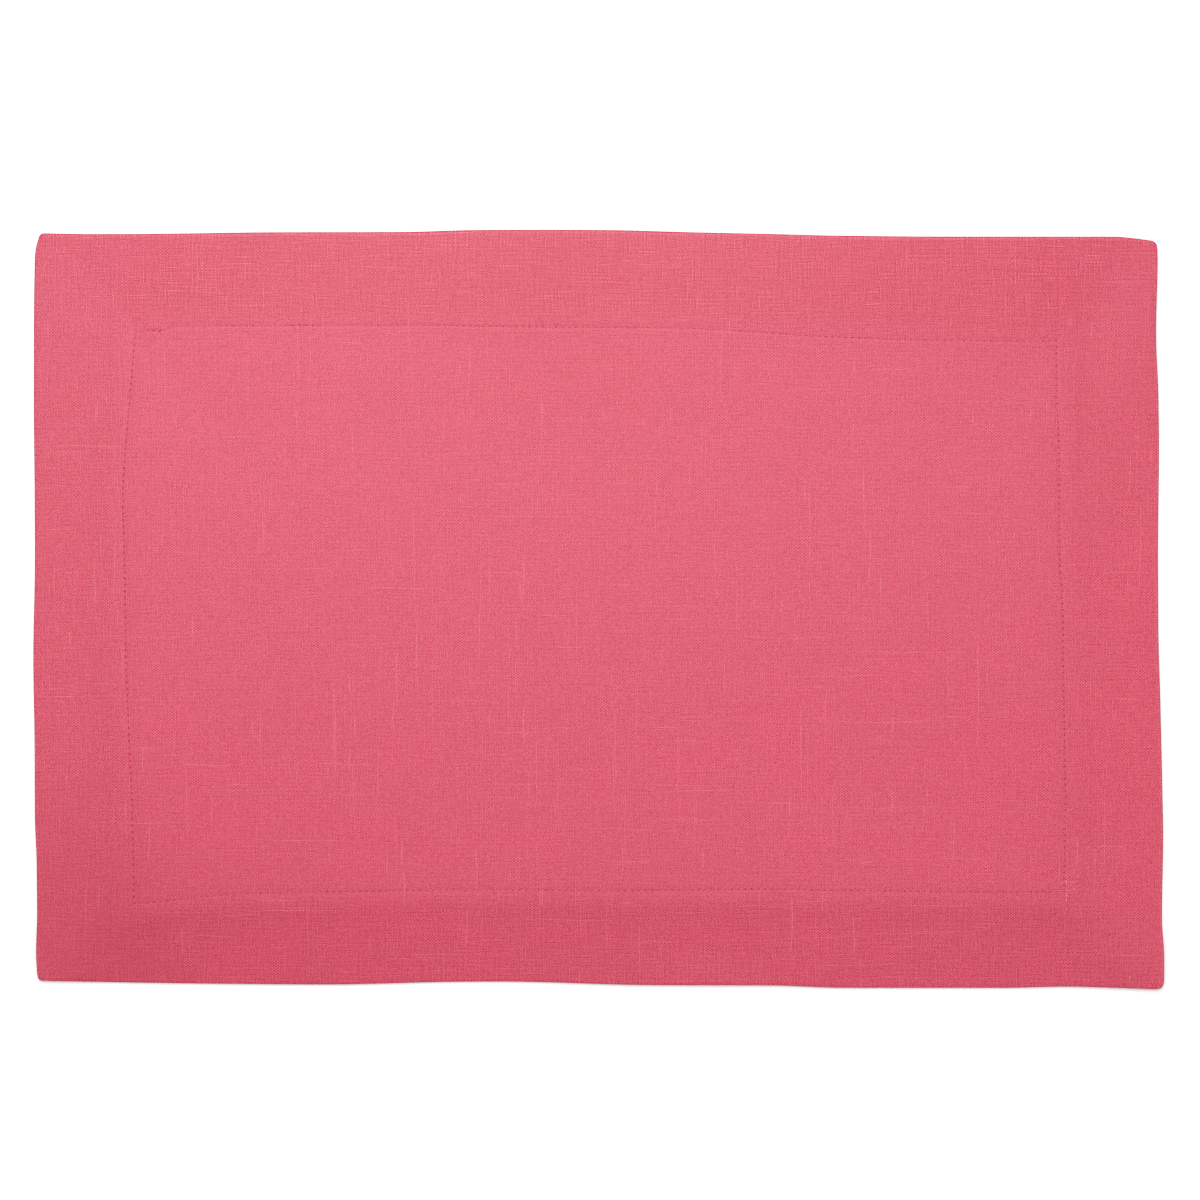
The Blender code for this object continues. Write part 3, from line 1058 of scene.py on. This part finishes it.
def mapOf(tree, name):
    place = addNode(tree, "UVMap", uv_map=name).outputs[0]
    split = addNode(tree, "SeparateXYZ", place)
    return place, split.outputs[0], split.outputs[1]


def newMaterial(name, looks):
    material = bpy.data.materials.new(name)
    material.use_nodes = True
    shader = material.node_tree.nodes["Principled BSDF"]
    shader.inputs["Roughness"].default_value = looks["roughness"]
    shader.inputs["Specular IOR Level"].default_value = looks["gloss"]
    return material, material.node_tree, shader


def addBump(shader, height, distance):
    bump = addNode(shader.id_data, "Bump")
    bump.inputs["Distance"].default_value = distance * mm
    feed(bump.inputs["Height"], height)
    feed(shader.inputs["Normal"], bump.outputs[0])


def yarnCount(place, pitch, strays, seed):
    # how many yarns across a place is, each a little off its even spacing
    count = times(place, 1 / (pitch * mm))
    for stray, width in strays:
        count = plus(count, times(fromMiddle(stray), width))
    waveScale, width = linen["uneven"]
    line = cloudy(point(times(count, waveScale), seed), 1.0)[0]
    return plus(count, times(fromMiddle(line), width))


def yarnLooks(index, lengthwise, seed):
    # tone and small slubs of the yarns in one direction
    ownTone = times(fromMiddle(dice(plus(index, 0.37 + seed), "1D")[0]), linen["yarnTone"])
    across, along = linen["alongWaves"]
    line = point(times(index, across), times(lengthwise, along), seed)
    everyOther = calc("COSINE", times(index, math.pi))
    streak = times(fromMiddle(cloudy(line, 1.0, 1.0)[0]), everyOther)
    yarnTone = plus(times(streak, linen["alongTone"]), ownTone)
    across, along = linen["slubWaves"]
    spots = point(times(index, across), times(lengthwise, along), seed + 5)
    return yarnTone, between(cloudy(spots, 1.0)[0], *linen["slubShare"])


def weave(u, v):
    # the yarns at a place, from the counts across the warp and the weft: height of the upper
    # one, whether that is the warp, its streaks and how much of a small slub it is
    su, sv = (calc("SINE", times(count, math.pi)) for count in (u, v))
    over, under = times(calc("SIGN", su), sv), times(calc("SIGN", sv), su)
    crimp = linen["crimp"]
    warp = times(calc("ABSOLUTE", su), straight(over, crimp, 1 - crimp))
    weft = times(calc("ABSOLUTE", sv), straight(under, -crimp, 1 - crimp))
    warpTone, warpSlub = yarnLooks(calc("FLOOR", u), v, linen["warpSeeds"][1])
    weftTone, weftSlub = yarnLooks(calc("FLOOR", v), u, linen["weftSeeds"][1])
    thicker, inWeft, _ = linen["slubLooks"]
    warp = times(warp, straight(warpSlub, thicker, 1.0))
    weft = times(weft, straight(weftSlub, thicker, 1.0))
    warpShows = calc("GREATER_THAN", warp, weft)
    streaks = blendOf(warpShows, weftTone, warpTone)
    slubShare = blendOf(warpShows, times(weftSlub, inWeft), warpSlub)
    return calc("MAXIMUM", warp, weft), warpShows, streaks, slubShare


def holeShare(tree, looks):
    # how much of a needle hole a place is, from the row's map and the attribute of its looks
    _, count, beyond = mapOf(tree, "row")
    dark, halfWidth, halfLength = addNode(tree, "SeparateXYZ", looks).outputs
    nearest = calc("ROUND", count)
    apart = calc("DIVIDE", times(calc("SUBTRACT", count, nearest), stitchLength), halfLength)
    beyond = calc("DIVIDE", beyond, halfWidth)
    away = calc("SQRT", plus(times(apart, apart), times(beyond, beyond)))
    hole = times(between(away, *linen["holeRim"], 1.0, 0.0), dark)
    return times(hole, straight(dice(nearest, "1D")[0], 0.5, 0.5))


def linenMaterial():
    material, tree, shader = newMaterial("coral linen", linen)
    flat, x, y = mapOf(tree, "flat")
    warpStrays, weftStrays = [], []
    for waveScale, width in linen["wander"]:
        split = addNode(tree, "SeparateColor", cloudy(flat, waveScale)[1])
        warpStrays.append((split.outputs[0], width))
        weftStrays.append((split.outputs[1], width))
    u = yarnCount(x, linen["warpPitch"], warpStrays, linen["warpSeeds"][0])
    v = yarnCount(y, linen["weftPitch"], weftStrays, linen["weftSeeds"][0])
    height, warpShows, streaks, slubShare = weave(u, v)
    shade = addNode(tree, "Attribute", attribute_name="shade")
    holes = addNode(tree, "Attribute", attribute_name="holes")
    streaks = times(streaks, shade.outputs["Alpha"])
    streaks = calc("MAXIMUM", streaks, times(streaks, linen["darkStreaks"]))
    # painted light: crossings where the warp is on top are lighter, those of the weft darker
    onTop = strayed(warpShows, 2 * linen["warpTone"])
    for waveScale, amount in linen["warpVary"]:
        onTop = times(onTop, straight(cloudy(point(u, v, 4.4), waveScale)[0], amount, 1 - amount / 2))
    crossing = dice(point(calc("FLOOR", u), calc("FLOOR", v)))
    fleck = dice(point(*(calc("FLOOR", times(count, 2.0)) for count in (u, v))))
    fine = plus(onTop, strayed(crossing[0], linen["crossingTone"]))
    fine = plus(fine, strayed(fleck[0], linen["fleckTone"]))
    fine = times(fine, straight(shade.outputs["Alpha"], linen["hemFine"], 1 - linen["hemFine"]))
    # painted shade: darker between the yarns, lighter on their tops
    valley, low, high = linen["valley"]
    toneNow = plus(between(height, low, high, valley, 1.0), streaks, fine)
    lightShare = between(toneNow, linen["deepTone"], linen["lightTone"], curve="LINEAR")
    dyed = blendColour(lightShare, linen["deep"], linen["light"])
    dyed = blendColour(times(slubShare, linen["slubLooks"][2]), dyed, linen["pale"])
    paleStreaks = between(streaks, *linen["paleFrom"], outHigh=linen["paleShare"])
    dyed = blendColour(paleStreaks, dyed, linen["pale"])
    dyed = vectorMath("MULTIPLY", dyed, shade.outputs["Color"])
    ownYarn = dice(point(blendOf(warpShows, calc("FLOOR", v), calc("FLOOR", u)), warpShows))
    for source, width in zip((crossing, ownYarn), linen["tint"]):
        middle = [1 - part / 2 for part in width]
        dyed = vectorMath("MULTIPLY", dyed, vectorMath("MULTIPLY_ADD", source[1], width, middle))
    # painted shade in the needle holes, in crimson
    hole = holeShare(tree, holes.outputs["Vector"])
    feed(shader.inputs["Base Color"], blendColour(hole, dyed, linen["crimson"]))
    waveScale, share = linen["fibres"]
    addBump(shader, plus(height, times(cloudy(flat, waveScale, 2.0)[0], share)), linen["bump"])
    for name, value in zip(("Sheen Weight", "Sheen Roughness", "Sheen Tint"), linen["sheen"]):
        feed(shader.inputs[name], value)
    return material


def threadMaterial(name, ply, plyShade):
    material, tree, shader = newMaterial(name, thread)
    _, length, around = mapOf(tree, "twist")
    turns, plies = thread["twist"]
    twist = times(plus(times(length, turns), times(around, plies)), math.pi)
    twist = calc("ABSOLUTE", calc("SINE", twist))
    # the plies lighter, with painted shade in the grooves between them
    feed(shader.inputs["Base Color"], blendColour(twist, plyShade, ply))
    addBump(shader, twist, thread["bump"])
    return material


def slubMaterial():
    material, tree, shader = newMaterial("coral slub yarn", linen)
    place, length, _ = mapOf(tree, "twist")
    waveScale, low, high = slub["cloudy"]
    share = between(cloudy(place, waveScale, 1.0)[0], low, high)
    dips = calc("COSINE", times(length, 2 * math.pi / slub["crossing"]))
    share = times(share, straight(dips, slub["dipped"] / 2, 1 - slub["dipped"] / 2))
    shade = addNode(tree, "Attribute", attribute_name="shade")
    dyed = blendColour(share, slub["shaded"], slub["colour"])
    feed(shader.inputs["Base Color"], vectorMath("MULTIPLY", dyed, shade.outputs["Color"]))
    return material


linenFinish, slubFinish = linenMaterial(), slubMaterial()
threadFinish = threadMaterial("coral sewing thread", thread["ply"], thread["plyShade"])
paleFinish = threadMaterial("pale sewing thread", thread["palePly"], thread["palePlyShade"])
holeFinish = threadMaterial("painted shade in a needle hole", thread["inHole"], linen["crimson"])
placemat.data.materials.append(linenFinish)
faceBuild, backBuild, mitreBuild, runOnBuild, knotBuild, holeBuild, slubBuild = (
    newBuild() for _ in range(7))
for side in sides:
    rowOfStitches(side, True, faceBuild)
    rowOfStitches(side, False, backBuild)
mitreStitches(mitreBuild)
print("thread:", sum(stitchesOf.values()), "stitches round the hem")
runOnStitches(runOnBuild)
knotThread(knotBuild)
knotHoles(holeBuild)
print("thread: stitches that run on and the knot")
for upright, table in ((True, uprightSlubs), (False, levelSlubs)):
    for row in (*table, *faintSlubs(upright)):
        slubYarn(*row, upright, slubBuild)
threads = [
    meshFrom(faceBuild, "stitching_face", threadFinish),
    meshFrom(backBuild, "stitching_back", threadFinish),
    meshFrom(mitreBuild, "mitre_slip_stitches", threadFinish),
    meshFrom(runOnBuild, "run_on_stitches", paleFinish),
    meshFrom(knotBuild, "thread_knot", threadFinish),
    meshFrom(holeBuild, "thread_knot_hole_shade", holeFinish),
    meshFrom(slubBuild, "slub_yarns", slubFinish),
]
slubs = threads[-1].data
slubs.shade_flat()            # smooth, so flat a tube would look dark along its edges
writeShade(slubs, *np.array(slubBuild["points"])[:, :2].T)
print("slubs:", len(slubs.polygons), "faces")


studio = {
    "tableSize": 6.0,                     # metres
    "tableWhite": 0.95,
    "roughness": 0.9,                     # of the table
    "gloss": 0.1,
    "tableGap": 0.02,                     # mm below the mat, so that they don't share a face
    "ambient": 0.72,
    "keyPlace": (-0.07, 0.54, 1.15),      # metres
    "keySize": 0.8,
    "keyPower": 9.9,
    "frameWidth": 488.2,                  # mm of the table across the picture
    "frameCentre": (0.50, 3.72, 1.4),     # mm, on the face of the mat
    "lens": 85,
    "sensor": 36,
}


def makeTable():
    white, _, shader = newMaterial("white table", studio)
    shader.inputs["Base Color"].default_value = (*[studio["tableWhite"]] * 3, 1)
    half = studio["tableSize"] / 2
    corners = [(-half, -half, 0), (half, -half, 0), (half, half, 0), (-half, half, 0)]
    mesh = newMesh("table_top", corners, [(0, 1, 2, 3)])
    mesh.materials.append(white)
    newObject("table_top", mesh, (0, 0, -studio["tableGap"] * mm))


def makeLight(scene):
    scene.world = bpy.data.worlds.new("soft room")
    scene.world.use_nodes = True
    background = scene.world.node_tree.nodes["Background"]
    background.inputs["Color"].default_value = (1, 1, 1, 1)
    background.inputs["Strength"].default_value = studio["ambient"]
    lamp = bpy.data.lights.new("key light", "AREA")
    lamp.shape = "SQUARE"
    lamp.size = studio["keySize"]
    lamp.energy = studio["keyPower"]
    key = newObject("key light", lamp, studio["keyPlace"])
    key.rotation_euler = (-Vector(studio["keyPlace"])).to_track_quat("-Z", "Y").to_euler()


def makeCamera(scene):
    lens = bpy.data.cameras.new("camera")
    lens.lens = studio["lens"]
    lens.sensor_width = studio["sensor"]
    distance = studio["frameWidth"] * studio["lens"] / studio["sensor"]
    x, y, z = studio["frameCentre"]
    scene.camera = newObject("camera", lens, (x * mm, y * mm, (z + distance) * mm))


scene = bpy.context.scene
scene.view_settings.view_transform = "Standard"
scene.cycles.use_denoising = False        # it would smear the weave
scene.cycles.pixel_filter_type = "BOX"
makeTable()
makeLight(scene)
makeCamera(scene)
print("studio: table, key light and camera")


for piece in [placemat, *threads]:
    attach(piece, "root")
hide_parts("placemat")
